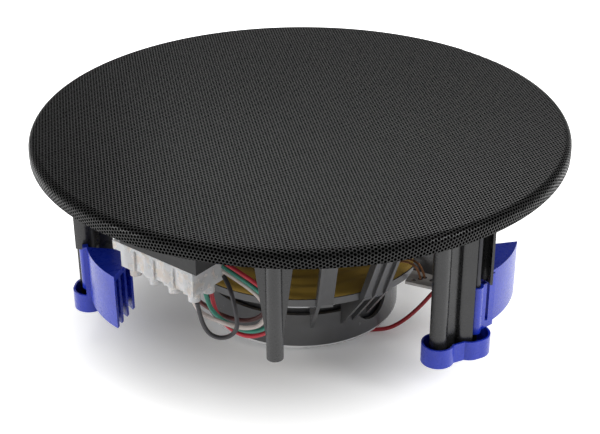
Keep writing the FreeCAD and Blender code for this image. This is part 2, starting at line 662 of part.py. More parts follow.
def make_foot_cup():
    cup = cup_outline(CUP_LOBE_R, CUP_WAIST, CUP_BOTTOM, CUP_TOP)
    cup = cup.cut(cup_outline(CUP_LOBE_R - CUP_WALL, CUP_WAIST - CUP_WALL, cup_floor_top, CUP_TOP + 1))
    boss = cylinder(PIVOT_R, CUP_BOTTOM, PIVOT_TOP, HUB_X, HUB_Y)
    return fused([cup, boss]).cut(cylinder(SCREW_R + RUN_GAP, cup_floor_top, PIVOT_TOP + 1, HUB_X, HUB_Y))


def make_clamp_screw():
    head_z = FLOOR_Z + FLOOR_T + SEAT_GAP
    shaft = cylinder(SCREW_R, cup_floor_top + SEAT_GAP, head_z + 0.2, HUB_X, HUB_Y)
    head = cylinder(SCREW_HEAD_R, head_z, head_z + SCREW_HEAD_T, HUB_X, HUB_Y)
    slot = Part.makeBox(5.0, 1.0, 1.4, V(HUB_X - 2.5, HUB_Y - 0.5, head_z + SCREW_HEAD_T - 1.3))
    cross = slot.copy()
    cross.rotate(V(HUB_X, HUB_Y, 0), AXIS, 90)
    return fused([shaft, head]).cut(slot).cut(cross)


def make_clamp_insert():
    return ring(INSERT_R, SCREW_R + RUN_GAP, HUB_BOTTOM, HUB_BOTTOM + INSERT_LENGTH, HUB_X, HUB_Y)


def wing_zone(z0, z1, inset=0.0):
    """Plan region between the wing's hub side and its free end, moved in by inset."""
    (ax, ay), (bx, by) = WING_HINGE_SIDE
    (tx, ty), (ex, ey) = WING_FREE_SIDE
    a, b, t, e = V(ax, ay, 0), V(bx, by, 0), V(tx, ty, 0), V(ex, ey, 0)
    u = V(a - b).normalize()
    w = V(t - e).normalize()
    step = V(u.y, -u.x, 0) * -inset if inset else V(0, 0, 0)
    a2, b2 = a + u * 8 + step, b - u * 8 + step
    t2, e2 = t + w * 8, e - w * 8
    return prism([(a2.x, a2.y), (t2.x, t2.y), (e2.x, e2.y), (b2.x, b2.y)], z0, z1)


def wing_band(depth, thickness, z0, z1):
    """Curved wall of the wing that starts at this depth behind its outer face."""
    x, y = polar(WING_CENTRE_R, WING_CENTRE_AZ)
    outer = WING_FACE_R - depth
    return ring(outer, outer - thickness, z0, z1, x, y)


def make_dog():
    zone = wing_zone(WING_BOTTOM, WING_TOP)
    skin = wing_band(0, WING_SKIN_T, WING_BOTTOM, WING_TOP).common(zone)
    band = wing_band(0, WING_DEPTH, WING_BOTTOM, WING_TOP)
    top = wing_band(0, WING_DEPTH, WING_TOP - WING_TOP_T, WING_TOP).common(zone)
    side = band.common(zone).cut(wing_zone(WING_BOTTOM - 1, WING_TOP + 1, WING_RIB_T))
    pieces = [skin, top, side]
    for depth in WING_RIB_DEPTHS:
        rib = wing_band(depth - WING_RIB_T / 2, WING_RIB_T, WING_BOTTOM, WING_TOP - WING_TOP_T / 2)
        pieces.append(rib.common(zone))
    hub = cylinder(HUB_R, HUB_BOTTOM, HUB_TOP, HUB_X, HUB_Y)
    reach = polar(BRIDGE_REACH, BRIDGE_AZ)
    start = polar(HUB_R - 0.5, BRIDGE_AZ)
    web = strip((HUB_X + start[0], HUB_Y + start[1]), (HUB_X + reach[0], HUB_Y + reach[1]),
                BRIDGE_T / 2, WING_BOTTOM, WING_TOP)
    web = web.cut(ring(GUIDE_BACK_R + BRIDGE_SLOT_GAP, guide_arc_in - BRIDGE_SLOT_GAP, BRIDGE_TOP,
                       WING_TOP + 1, HUB_X, HUB_Y))
    web = web.cut(cylinder(guide_arc_in, HUB_TOP, WING_TOP + 1, HUB_X, HUB_Y))
    dog = fused(pieces + [hub, web])
    dog = dog.cut(cylinder(SCREW_R + SEAT_GAP, HUB_BOTTOM - 1, HUB_TOP + 1, HUB_X, HUB_Y))
    return dog.cut(cylinder(INSERT_R + RUN_GAP, HUB_BOTTOM - 1, HUB_BOTTOM + INSERT_LENGTH + RUN_GAP,
                            HUB_X, HUB_Y))


# Transformer and terminal block
def make_transformer():
    body = face_box(BOX_LEFT, BOX_RIGHT, 0, BOX_DEPTH, BOX_BOTTOM, BOX_TOP)
    seat = face_box(BOX_LEFT, BOX_RIGHT, 0, BOX_SEAT_DEPTH, BOX_TOP - 1, FLOOR_Z)
    return fused([body, seat])


pole_places = [(BOX_LEFT + BOX_RIGHT) / 2 + POLE_PITCH * (k - (POLES - 1) / 2) for k in range(POLES)]
barrel_spots = [(s, d) for s in pole_places for d in BARREL_ROWS]
block_top = BOX_BOTTOM - GLUE_GAP
contact_bottom = BLOCK_BOTTOM + BLOCK_WALL


def contact_bar(s, gap, z1):
    """Bar from one of a pole's bores to the other, grown by gap."""
    near, far = BARREL_ROWS[0] - CONTACT_END, BARREL_ROWS[1] + CONTACT_END
    return face_box(s - CONTACT_HALF - gap, s + CONTACT_HALF + gap, near - gap, far + gap,
                    contact_bottom - gap, z1)


def make_terminal_block():
    body = face_box(BOX_LEFT, BLOCK_RIGHT, 0, BOX_DEPTH, BLOCK_BOTTOM, block_top)
    for s in (place + POLE_PITCH / 2 for place in pole_places[:-1]):
        for d in (BLOCK_WALL - 2.0, BOX_DEPTH - BLOCK_WALL):
            body = body.cut(face_box(s - POLE_CELL / 2, s + POLE_CELL / 2, d, d + 2.0,
                                     BLOCK_BOTTOM - 1, block_top - BLOCK_WALL))
    lug = face_box(BOX_LEFT - LUG_LENGTH, BOX_LEFT + 1, 0, LUG_WIDTH, block_top - LUG_T, block_top)
    pieces = [body, lug]
    pieces += [face_cylinder(BARREL_R, s, d, BARREL_BOTTOM, BLOCK_BOTTOM + 1) for s, d in barrel_spots]
    block = fused(pieces)
    for s, d in barrel_spots:
        block = block.cut(face_cylinder(BARREL_BORE_R, s, d, BARREL_BOTTOM - 1, BARREL_BORE_TOP))
    for s in pole_places:
        block = block.cut(contact_bar(s, GLUE_GAP, BOX_BOTTOM))
    return block


def make_contact(k):
    """Brass bar of one pole, with the two wire bores in it."""
    bar = contact_bar(pole_places[k], 0, contact_bottom + CONTACT_HEIGHT)
    for s, d in barrel_spots[2 * k:2 * k + 2]:
        bar = bar.cut(face_cylinder(BARREL_BORE_R, s, d, BARREL_BOTTOM, BARREL_BORE_TOP))
    return bar


def make_tag_board():
    return prism(TAG_CORNERS, TAG_TOP - TAG_T, TAG_TOP)


def make_wire(route, diameter):
    """Round wire along straight runs joined by tangent arcs."""
    points = [V(*p) for p in route]
    edges, start, tightest = [], points[0], None
    for before, corner, after in zip(points, points[1:], points[2:]):
        back, ahead = V(before - corner), V(after - corner)
        short = min(back.Length, ahead.Length)
        back.normalize()
        ahead.normalize()
        turn_angle = math.pi - back.getAngle(ahead)
        radius = 0.45 * short / math.tan(turn_angle / 2)
        tightest = radius if tightest is None else min(radius, tightest)
        reach = 0.45 * short
        enter, leave = corner + back * reach, corner + ahead * reach
        half = V(back + ahead).normalize()
        middle = corner + half * (radius / math.cos(turn_angle / 2) - radius)
        edges += [line(start, enter), arc(enter, middle, leave)]
        start = leave
    edges.append(line(start, points[-1]))
    path = Part.Wire(edges)
    along = V(points[1] - points[0]).normalize()
    section = Part.Wire([Part.Circle(points[0], along, diameter / 2).toShape()])
    tube = path.makePipeShell([section], True, False)
    length = sum(e.Length for e in edges)
    expected = math.pi * diameter ** 2 / 4 * length
    print(f"tightest arc {tightest:.1f} mm, length {length:.1f} mm, volume {tube.Volume / expected:.4f}")
    return tube


def main():
    os.makedirs("parts", exist_ok=True)
    parts = {
        "grille": make_grille(),
        "baffle_frame": make_frame(),
        "basket": make_basket(),
        "back_plate": make_back_plate(),
        "magnet_ring": make_magnet(),
        "top_plate": make_top_plate(),
        "voice_coil_former": make_former(),
        "voice_coil_winding": make_coil(),
        "cone": make_cone(),
        "dust_cap": make_dust_cap(),
        "surround": make_surround(),
        "spider": make_spider(),
        "transformer_housing": make_transformer(),
        "terminal_block": make_terminal_block(),
        "tag_board": make_tag_board(),
    }
    parts["grille_cloth"] = make_grille_cloth()
    for name, (diameter, route) in WIRE_ROUTES.items():
        parts[name] = make_wire(route, diameter)
    for k in range(POLES):
        parts[f"terminal_contact_{k + 1}"] = make_contact(k)
    for k in range(GRILLE_MAGNETS):
        parts[f"grille_magnet_{k + 1}"] = make_grille_magnet(k)
    for k in range(DRIVER_SCREWS):
        parts[f"driver_screw_{k + 1}"] = make_driver_screw(k)
    for k in range(3):
        parts[f"basket_screw_{k + 1}"] = make_basket_screw(k)
    clamp = {"foot_cup": make_foot_cup(), "clamp_screw": make_clamp_screw(),
             "clamp_insert": make_clamp_insert(), "clamp_dog": make_dog()}
    for place, angle in (("right", 0), ("left", -THIRD), ("back", THIRD)):
        for name, shape in clamp.items():
            parts[f"{name}_{place}"] = turn(shape, angle)
    for name, shape in parts.items():
        shape.exportStep(f"parts/{name}.step")


main()
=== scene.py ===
"""Round ceiling loudspeaker, standing on its magnet: camera, studio, finishes and fine pieces."""
import bpy
import functools
import math
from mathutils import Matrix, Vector


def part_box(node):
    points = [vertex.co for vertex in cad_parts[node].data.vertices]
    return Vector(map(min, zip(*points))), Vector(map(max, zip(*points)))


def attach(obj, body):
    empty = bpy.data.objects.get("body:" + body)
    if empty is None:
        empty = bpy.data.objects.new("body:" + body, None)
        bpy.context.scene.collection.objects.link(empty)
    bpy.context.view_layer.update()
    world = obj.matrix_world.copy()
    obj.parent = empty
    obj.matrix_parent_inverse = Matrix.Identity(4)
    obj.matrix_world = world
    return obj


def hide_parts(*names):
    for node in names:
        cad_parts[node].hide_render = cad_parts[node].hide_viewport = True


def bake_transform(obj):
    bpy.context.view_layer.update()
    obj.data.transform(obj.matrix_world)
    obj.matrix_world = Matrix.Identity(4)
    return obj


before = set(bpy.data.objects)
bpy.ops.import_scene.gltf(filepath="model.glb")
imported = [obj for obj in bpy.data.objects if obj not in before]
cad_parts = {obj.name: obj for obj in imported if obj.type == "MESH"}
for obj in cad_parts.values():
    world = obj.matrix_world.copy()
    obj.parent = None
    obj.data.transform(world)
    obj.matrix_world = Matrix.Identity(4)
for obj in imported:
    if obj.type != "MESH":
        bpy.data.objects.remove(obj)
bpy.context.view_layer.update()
MM = 0.001

# The photograph's camera: place in metres, turns in degrees, lens and sensor in millimetres
CAMERA_BACK = 0.62670
CAMERA_HEIGHT = 0.39337
CAMERA_DOWN = 28.528
CAMERA_ROLL = -0.256
LENS = 78.8
SENSOR = 36.0
SIDE_SHIFT = -0.0007
NEAREST_SEEN, FARTHEST_SEEN = 0.01, 20

# The grille, whose top and radius come from the frame, and its round holes, in rows turned by degrees
grille_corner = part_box("grille")[1]
GRILLE_TOP = grille_corner.z
GRILLE_R = grille_corner.x
EDGE_R = 4.0 * MM
HOLE_PITCH = 1.80 * MM
HOLE_R = 0.69 * MM
HOLE_SOFT = 0.03 * MM
LIP_WIDTH = 0.04 * MM
LIP_SOFT = 0.06 * MM
ROW_TURN = 9.7

# The painted highlight band at the can's foot, and the solder on the tag board as x and y in millimetres
FOOT_HIGHLIGHT_TOP = 4.8 * MM
FOOT_HIGHLIGHT_SOFT = 0.12 * MM
SOLDER_PADS = ((60.6, -56.8), (62.9, -55.6), (66.4, -58.6), (57.0, -58.0))
PAD_R = 1.5 * MM
PAD_SOFT = 0.3 * MM


# Materials: shader maths
class Amount:
    """A number, a vector or a shader in a network, so that its maths reads as maths."""

    def __init__(self, network, socket):
        self.network, self.socket = network, socket

    def _maths(self, kind, *others):
        return self.network.node("ShaderNodeMath", self, *others, operation=kind)

    def __add__(self, other):
        return self._maths("ADD", other)

    def __sub__(self, other):
        return self._maths("SUBTRACT", other)

    def __rsub__(self, other):
        return (self * -1.0) + other

    def __mul__(self, other):
        return self._maths("MULTIPLY", other)

    def __truediv__(self, other):
        return self._maths("DIVIDE", other)

    __radd__ = __add__
    __rmul__ = __mul__

    def at_least(self, other):
        return self._maths("MAXIMUM", other)

    def at_most(self, other):
        return self._maths("MINIMUM", other)

    def wave(self, step):
        """A wave between -1 and 1 that repeats every step."""
        return (self * (2 * math.pi / step))._maths("SINE")

    def root(self):
        return self._maths("SQRT")

    def fraction_of(self, step):
        return self._maths("FLOORED_MODULO", step)

    def angle_to(self, other):
        return self._maths("ARCTAN2", other)

    def over(self, limit, soft):
        """0 below limit, 1 above it, with a soft step."""
        ends = {"From Min": limit - soft, "From Max": limit + soft}
        return self.network.node("ShaderNodeMapRange", self, sockets=ends,
                                 interpolation_type="SMOOTHSTEP", clamp=True)

    def part(self, axis):
        """One of a vector's three numbers, X, Y or Z."""
        return self.network.node("ShaderNodeSeparateXYZ", self, output=axis)


def largest(amounts):
    """The largest of several amounts at each place."""
    return functools.reduce(Amount.at_least, amounts)


class Network:
    """The nodes of one material, or of the sky."""

    def __init__(self, owner):
        owner.use_nodes = True
        self.tree = owner.node_tree

    def node(self, kind, *values, sockets=None, output=0, **settings):
        """Adds one node: its settings, then its sockets in order or by name. Returns one output."""
        box = self.tree.nodes.new(kind)
        for key, value in settings.items():
            setattr(box, key, value)
        for socket, value in zip(box.inputs, values):
            self.join(value, socket)
        for name, value in (sockets or {}).items():
            self.join(value, box.inputs[name])
        return Amount(self, box.outputs[output])

    def join(self, value, socket):
        """Links an amount to a socket, or sets the socket's own value. A colour has three numbers."""
        if isinstance(value, Amount):
            self.tree.links.new(value.socket, socket)
        elif socket.type == "RGBA":
            socket.default_value = (*value, 1)
        else:
            socket.default_value = value

    def ray(self, kind):
        """1 where a ray of that kind arrives, such as Camera or Glossy."""
        return self.node("ShaderNodeLightPath", output=f"Is {kind} Ray")


class Finish(Network):
    """One procedural material, read off Object coordinates."""

    def __init__(self, name):
        self.material = bpy.data.materials.new(name)
        super().__init__(self.material)
        self.shader = self.tree.nodes["Principled BSDF"]
        self.place = self.node("ShaderNodeTexCoord", output="Object")

    def grain(self, size, detail=3.0, stretch=(1, 1, 1)):
        """Soft noise between 0 and 1, with lumps of that size in metres."""
        place = self.node("ShaderNodeVectorMath", self.place, stretch, operation="MULTIPLY")
        return self.node("ShaderNodeTexNoise", place, sockets={"Scale": 1.0 / size, "Detail": detail})

    def weave(self, thread):
        """A square weave between -1 and 1, with threads of that width in metres."""
        return self.place.part("X").wave(thread) * self.place.part("Y").wave(thread)

    def colours(self, amount, low, high):
        """A blend of two colours, low where the amount is 0 and high where it is 1."""
        ends = {"Factor": amount, "A": low, "B": high}
        return self.node("ShaderNodeMix", sockets=ends, output="Result", data_type="RGBA")

    def relief(self, height, strength, depth):
        """Shades the surface as if it rose by height, and by depth metres at a height of 1."""
        ends = {"Strength": strength, "Distance": depth, "Height": height}
        self.join(self.node("ShaderNodeBump", sockets=ends, output="Normal"), self.shader.inputs["Normal"])

    def set(self, **values):
        """Sets the main shader's sockets, named with _ for each space."""
        for key, value in values.items():
            self.join(value, self.shader.inputs[key.replace("_", " ")])

    def dull_outside(self, mask, colour):
        """Keeps the main shader where the mask is 1, and puts a colour with no shine where it is 0."""
        dull = self.node("ShaderNodeBsdfDiffuse", colour)
        main = Amount(self, self.shader.outputs["BSDF"])
        both = self.node("ShaderNodeMixShader", mask, dull, main)
        self.join(both, self.tree.nodes["Material Output"].inputs["Surface"])


def grey(level):
    return level, level, level


def srgb(red, green, blue):
    """A colour as a picture shows it, 0 to 255, in the renderer's linear light."""
    def linear(level):
        level = level / 255
        return level / 12.92 if level < 0.04045 else ((level + 0.055) / 1.055) ** 2.4
    return linear(red), linear(green), linear(blue)


def moulded(name, colour, light, rough, grain_mm, relief):
    """Moulded plastic: fine leather grain, and a slow drift from one shade to a lighter one."""
    finish = Finish(name)
    drift = finish.grain(14 * MM, 2.0)
    finish.set(Base_Color=finish.colours(drift.over(0.5, 0.3), colour, light),
               Roughness=finish.grain(3 * MM) * 0.16 + (rough - 0.08))
    finish.relief(finish.grain(grain_mm * MM, 2.0), relief, 0.04 * MM)
    return finish.material


def perforated_steel():
    """Powder coat on steel with round holes in hexagonal rows, which run on round the edge; the holes are
    painted near black and dull, partly the black cloth's own colour and partly painted shade.
    """
    finish = Finish("perforated_black_steel")
    x, y, z = (finish.place.part(axis) for axis in "XYZ")
    across = (x * x + y * y).root().at_least(0.1 * MM)
    turn_z, turn_r = GRILLE_TOP - EDGE_R, GRILLE_R - EDGE_R
    above = (z - turn_z).at_least(0.001 * MM)
    round_edge = (across - turn_r).at_least(0.0).angle_to(above) * EDGE_R
    along = across.at_most(turn_r) + round_edge + (turn_z - z).at_least(0.0)
    flat_x, flat_y = x / across * along, y / across * along
    turned = math.radians(ROW_TURN)
    u = flat_x * math.cos(turned) + flat_y * math.sin(turned)
    v = flat_y * math.cos(turned) - flat_x * math.sin(turned)
    row = HOLE_PITCH * math.sqrt(3)

    def from_nearest(shift_u, shift_v):
        """The distance to the nearest hole's middle, in one of two sets of holes that interleave."""
        du = (u + shift_u).fraction_of(row) - row / 2
        dv = (v + shift_v).fraction_of(HOLE_PITCH) - HOLE_PITCH / 2
        return (du * du + dv * dv).root()

    from_hole = from_nearest(0.0, 0.0).at_most(from_nearest(row / 2, HOLE_PITCH / 2))
    grit = finish.grain(0.25 * MM, 2.0)
    paint = finish.colours(finish.grain(30 * MM, 2.0), grey(0.008), grey(0.011))
    finish.set(Base_Color=paint, Roughness=grit * 0.08 + 0.24, Specular_IOR_Level=0.28)
    finish.relief(from_hole.over(HOLE_R + LIP_WIDTH, LIP_SOFT) + grit * 0.05, 0.5, 0.1 * MM)
    # Painted shade: the holes are not cut but get a near-black dull colour, for the black cloth behind them
    # and the shade on it.
    finish.dull_outside(from_hole.over(HOLE_R, HOLE_SOFT), grey(0.0005))
    return finish.material


def plated_steel(name, colour, rough):
    """Metal with fine rings from turning and a slow stain."""
    finish = Finish(name)
    rings = finish.grain(1.2 * MM, 4.0, (1, 1, 6))
    stain = finish.grain(22 * MM, 3.0)
    finish.set(Base_Color=finish.colours(stain.over(0.55, 0.25), colour, tuple(c * 0.82 for c in colour)),
               Metallic=1.0, Roughness=rings * 0.18 + rough)
    finish.relief(rings, 0.12, 0.03 * MM)
    return finish.material


def ferrite():
    """Pressed and fired magnet ring: dull black with pale specks."""
    finish = Finish("black_ferrite")
    speck = finish.grain(0.6 * MM, 5.0)
    black = finish.colours(speck.over(0.5, 0.25), (0.016, 0.016, 0.017), (0.035, 0.035, 0.037))
    finish.set(Base_Color=black, Roughness=speck * 0.25 + 0.42)
    finish.relief(speck, 0.4, 0.1 * MM)
    return finish.material


def paper_cone():
    """Black paper pulp, with its fibres."""
    finish = Finish("pressed_paper_cone")
    fibre = finish.grain(0.9 * MM, 6.0)
    finish.set(Base_Color=finish.colours(fibre, (0.014, 0.014, 0.015), (0.04, 0.039, 0.038)), Roughness=0.78)
    finish.relief(fibre, 0.5, 0.15 * MM)
    return finish.material


def woven_spider():
    """Resin-dipped cotton: a square weave over the pressed rolls."""
    finish = Finish("amber_woven_spider")
    weave = finish.weave(0.55 * MM)
    dyed = finish.colours(finish.grain(9 * MM, 3.0), (0.34, 0.20, 0.022), (0.50, 0.31, 0.045))
    threads = (weave * 0.5 + 0.5).over(0.5, 0.5)
    finish.set(Base_Color=finish.colours(threads, dyed, (0.60, 0.39, 0.07)), Roughness=0.6)
    finish.relief(weave, 0.5, 0.12 * MM)
    return finish.material


def soft_rubber():
    """Dull black rubber for the half roll."""
    finish = Finish("black_rubber_surround")
    grain = finish.grain(0.7 * MM, 3.0)
    finish.set(Base_Color=finish.colours(grain, (0.010, 0.010, 0.011), (0.022, 0.022, 0.023)),
               Roughness=grain * 0.15 + 0.55)
    finish.relief(grain, 0.2, 0.08 * MM)
    return finish.material


def clear_nylon():
    """Milky terminal plastic that lets light through."""
    finish = Finish("milky_clear_plastic")
    cloud = finish.grain(4.5 * MM, 2.0)
    tint = finish.colours(cloud.over(0.56, 0.1), (0.93, 0.91, 0.91), (0.90, 0.80, 0.72))
    finish.set(Base_Color=tint, Roughness=cloud * 0.1 + 0.22, Transmission_Weight=0.2, IOR=1.4,
               Subsurface_Weight=0.6, Subsurface_Scale=6 * MM, Subsurface_Radius=(1.0, 0.85, 0.75))
    finish.relief(finish.grain(2.5 * MM), 0.05, 0.1 * MM)
    return finish.material


def wound_copper():
    """The voice coil's turns, one above the other, with painted shade between them and a painted highlight
    on each.
    """
    finish = Finish("wound_copper_wire")
    turns = finish.place.part("Z").wave(0.4 * MM)
    # Painted shade and highlight: the copper is dark in the grooves between turns and bright on their
    # crests.
    finish.set(Base_Color=finish.colours(turns * 0.5 + 0.5, (0.32, 0.09, 0.03), (0.72, 0.27, 0.11)),
               Metallic=0.9, Roughness=0.32)
    finish.relief(turns, 0.6, 0.1 * MM)
    return finish.material


def scrim_cloth():
    """Thin black cloth behind the holes: a plain weave that hardly shows."""
    finish = Finish("black_scrim_cloth")
    weave = finish.weave(0.3 * MM)
    finish.set(Base_Color=finish.colours(weave * 0.5 + 0.5, grey(0.0015), grey(0.004)),
               Roughness=0.95, Specular_IOR_Level=0.05)
    finish.relief(weave, 0.3, 0.05 * MM)
    return finish.material


def wire_sleeve(name, colour, rough=0.34):
    """Insulation with a soft shine, and a little dust that shifts its shade."""
    finish = Finish(name)
    drift = finish.grain(6 * MM, 3.0)
    finish.set(Base_Color=finish.colours(drift, colour, tuple(c * 0.8 + 0.01 for c in colour)),
               Roughness=finish.grain(1.5 * MM) * 0.15 + rough)
    finish.relief(finish.grain(0.5 * MM), 0.08, 0.03 * MM)
    return finish.material


def braided_copper():
    """Tinsel lead: fine copper strands that turn round the lead, with painted shade between them and a
    painted highlight on each.
    """
    finish = Finish("braided_copper_lead")
    x, y, z = (finish.place.part(axis) for axis in "XYZ")
    strands = (x + y * 0.6 + z * 1.4).wave(0.45 * MM)
    # Painted shade and highlight: the copper is dark in the grooves between strands and bright on their
    # crests.
    finish.set(Base_Color=finish.colours(strands * 0.5 + 0.5, (0.20, 0.075, 0.03), (0.66, 0.33, 0.17)),
               Metallic=0.85, Roughness=0.36)
    finish.relief(strands, 0.8, 0.1 * MM)
    return finish.material


def basket_paint():
    """Glossy black coat on the basket and its can, with a painted highlight at the foot: a light grey,
    partly metal band.
    """
    finish = Finish("glossy_black_basket")
    drift = finish.grain(14 * MM, 2.0)
    # Painted highlight: below this height the coat turns light grey and partly metal, standing in for the
    # floor's reflection along the foot.
    foot = 1.0 - finish.place.part("Z").over(FOOT_HIGHLIGHT_TOP, FOOT_HIGHLIGHT_SOFT)
    coat = finish.colours(drift.over(0.5, 0.3), srgb(80, 80, 81), srgb(90, 90, 91))
    finish.set(Base_Color=finish.colours(foot, coat, grey(0.92)), Metallic=foot * 0.6,
               Roughness=finish.grain(3 * MM) * 0.1 + 0.2)
    finish.relief(finish.grain(0.5 * MM, 2.0), 0.05, 0.04 * MM)
    return finish.material


def tinned_board():
    """Grey tag board with tinned solder pads round the leads' ends."""
    finish = Finish("grey_tag_board")
    x, y = finish.place.part("X"), finish.place.part("Y")

    def pad(pad_x, pad_y):
        dx, dy = x - pad_x * MM, y - pad_y * MM
        return 1.0 - (dx * dx + dy * dy).root().over(PAD_R, PAD_SOFT)

    pads = largest(pad(*middle) for middle in SOLDER_PADS)
    fibre = finish.grain(1.0 * MM, 4.0, (1, 3, 1))
    board = finish.colours(fibre, srgb(186, 182, 178), srgb(206, 202, 198))
    finish.set(Base_Color=finish.colours(pads, board, (0.80, 0.79, 0.77)), Metallic=pads * 0.9,
               Roughness=0.5 - pads * 0.25)
    finish.relief(pads + fibre * 0.1, 0.6, 0.2 * MM)
    return finish.material


dark_plastic = moulded("dark_grey_abs", srgb(32, 32, 33), srgb(40, 40, 41), 0.28, 0.5, 0.03)
blue_plastic = moulded("blue_nylon", srgb(24, 48, 178), srgb(32, 58, 194), 0.28, 0.8, 0.03)
box_plastic = moulded("transformer_box_abs", srgb(12, 12, 13), srgb(20, 20, 21), 0.6, 0.5, 0.15)
basket_coat = basket_paint()
steel_grille = perforated_steel()
zinc = plated_steel("zinc_plated_steel", (0.62, 0.63, 0.64), 0.22)
screw_steel = plated_steel("zinc_screws", (0.55, 0.56, 0.58), 0.25)
dark_screw = plated_steel("black_oxide_screws", (0.05, 0.05, 0.055), 0.3)
brass = plated_steel("turned_brass", (0.78, 0.56, 0.22), 0.25)

node_finish = {
    "grille": steel_grille,
    "baffle_frame": dark_plastic,
    "basket": basket_coat,
    "back_plate": zinc,
    "magnet_ring": ferrite(),
    "top_plate": zinc,
    "voice_coil_former": plated_steel("aluminium_former", (0.7, 0.7, 0.7), 0.35),
    "voice_coil_winding": wound_copper(),
    "cone": paper_cone(),
    "dust_cap": paper_cone(),
    "surround": soft_rubber(),
    "spider": woven_spider(),
    "transformer_housing": box_plastic,
    "terminal_block": clear_nylon(),
    "terminal_contact": brass,
    "tag_board": tinned_board(),
    "grille_cloth": scrim_cloth(),
    "clamp_screw": dark_screw,
    "clamp_insert": brass,
    "clamp_dog": blue_plastic,
    "foot_cup": blue_plastic,
    "driver_screw": screw_steel,
    "basket_screw": screw_steel,
    "grille_magnet": screw_steel,
}
for name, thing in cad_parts.items():
    keys = [key for key in node_finish if name == key or name.startswith(key + "_")]
    if keys:
        thing.data.materials.clear()
        thing.data.materials.append(node_finish[max(keys, key=len)])


# Wires and tinsel leads in millimetres: length, diameter, a wire's finish, and points from end to end
WIRE_D, TINSEL_D = 2.2, 1.2
WIRES = {
    "wire_white": (74.6, WIRE_D, wire_sleeve("white_sleeve", srgb(226, 214, 208)), [
        (-36.9, -86.2, 70.2), (-30.6, -90.0, 67.8), (-24.2, -92.2, 63.9), (-18.9, -94.4, 59.6),
        (-15.8, -96.9, 53.4), (-19.0, -97.8, 46.9), (-25.6, -98.2, 45.2), (-32.6, -98.2, 46.6),
        (-39.6, -97.8, 49.6), (-45.0, -97.2, 51.6), (-49.4, -96.4, 55.0), (-51.3, -95.9, 60.2)]),
    "wire_green": (84.3, WIRE_D, wire_sleeve("green_sleeve", srgb(50, 138, 118)), [
        (-37.3, -85.9, 72.9), (-30.6, -90.8, 70.6), (-24.1, -93.0, 66.8), (-18.2, -95.0, 62.4),
        (-13.4, -96.4, 56.8), (-12.9, -96.8, 49.4), (-17.2, -96.2, 43.6), (-24.0, -95.2, 41.2),
        (-31.0, -94.0, 42.4), (-37.2, -92.8, 45.8), (-42.0, -91.6, 50.2), (-44.8, -90.6, 55.4),
        (-45.7, -90.1, 60.2)]),
    "wire_red": (96.1, WIRE_D, wire_sleeve("red_sleeve", srgb(196, 44, 60)), [
        (-37.3, -85.9, 75.6), (-30.2, -90.8, 73.1), (-23.6, -93.0, 69.3), (-17.5, -95.0, 65.2),
        (-11.8, -96.0, 60.2), (-9.4, -96.2, 53.0), (-11.6, -95.6, 45.2), (-17.6, -94.6, 39.6),
        (-25.4, -93.6, 37.2), (-32.8, -91.4, 39.2), (-38.6, -89.2, 44.2), (-42.3, -88.0, 51.0),
        (-43.2, -87.8, 60.2)]),
    "wire_brown": (82.7, WIRE_D, wire_sleeve("brown_sleeve", srgb(92, 44, 42)), [
        (-54.4, -81.0, 60.2), (-53.2, -81.4, 54.8), (-49.4, -82.6, 50.6), (-44.0, -84.2, 47.4),
        (-38.4, -86.0, 45.0), (-32.1, -87.8, 43.6), (-25.4, -89.4, 44.0), (-19.6, -90.8, 47.0),
        (-15.8, -91.2, 52.5), (-13.6, -91.2, 59.5), (-12.6, -92.6, 66.5), (-12.3, -97.2, 71.2),
        (-12.2, -103.0, 72.6), (-12.2, -108.3, 72.6)]),
    "wire_black": (61.3, WIRE_D, wire_sleeve("black_sleeve", srgb(52, 50, 54), 0.42), [
        (-36.9, -86.2, 67.5), (-34.0, -92.2, 65.2), (-32.4, -96.6, 61.6), (-31.0, -100.0, 56.9),
        (-30.0, -101.5, 48.0), (-33.0, -101.9, 43.8), (-37.8, -101.8, 42.0), (-42.8, -101.3, 43.3),
        (-46.1, -100.6, 47.3), (-48.0, -99.7, 53.6), (-49.2, -98.6, 60.2)]),
    "wire_lead": (84.4, WIRE_D, wire_sleeve("lead_sleeve", srgb(172, 18, 34)), [
        (33.6, -33.2, 1.3), (40.4, -33.2, 1.3), (48.2, -32.0, 1.6), (55.4, -30.9, 5.6),
        (61.6, -30.6, 11.6), (66.6, -30.9, 18.0), (70.4, -32.4, 24.6), (73.2, -37.4, 29.6),
        (74.2, -44.8, 32.6), (72.8, -52.0, 34.8), (69.6, -57.4, 38.8), (67.9, -59.2, 45.4)]),
}
TINSEL = {
    "tinsel_lead_1": (57.0, TINSEL_D, [
        (21.5, -33.5, 71.0), (22.6, -34.4, 66.0), (29.0, -38.0, 59.6), (38.5, -42.4, 54.4),
        (48.5, -46.8, 52.0), (54.5, -51.0, 54.5), (59.5, -55.6, 53.2), (60.6, -56.8, 47.85)]),
    "tinsel_lead_2": (56.7, TINSEL_D, [
        (24.5, -31.0, 70.8), (25.6, -31.8, 65.8), (32.0, -35.4, 59.8), (41.2, -40.2, 54.8),
        (51.0, -44.8, 52.4), (56.6, -49.2, 54.8), (61.4, -54.0, 53.4), (62.9, -55.6, 47.85)]),
}


def pick(thing):
    """Selects one object alone and makes it the active one."""
    bpy.ops.object.select_all(action="DESELECT")
    thing.select_set(True)
    bpy.context.view_layer.objects.active = thing


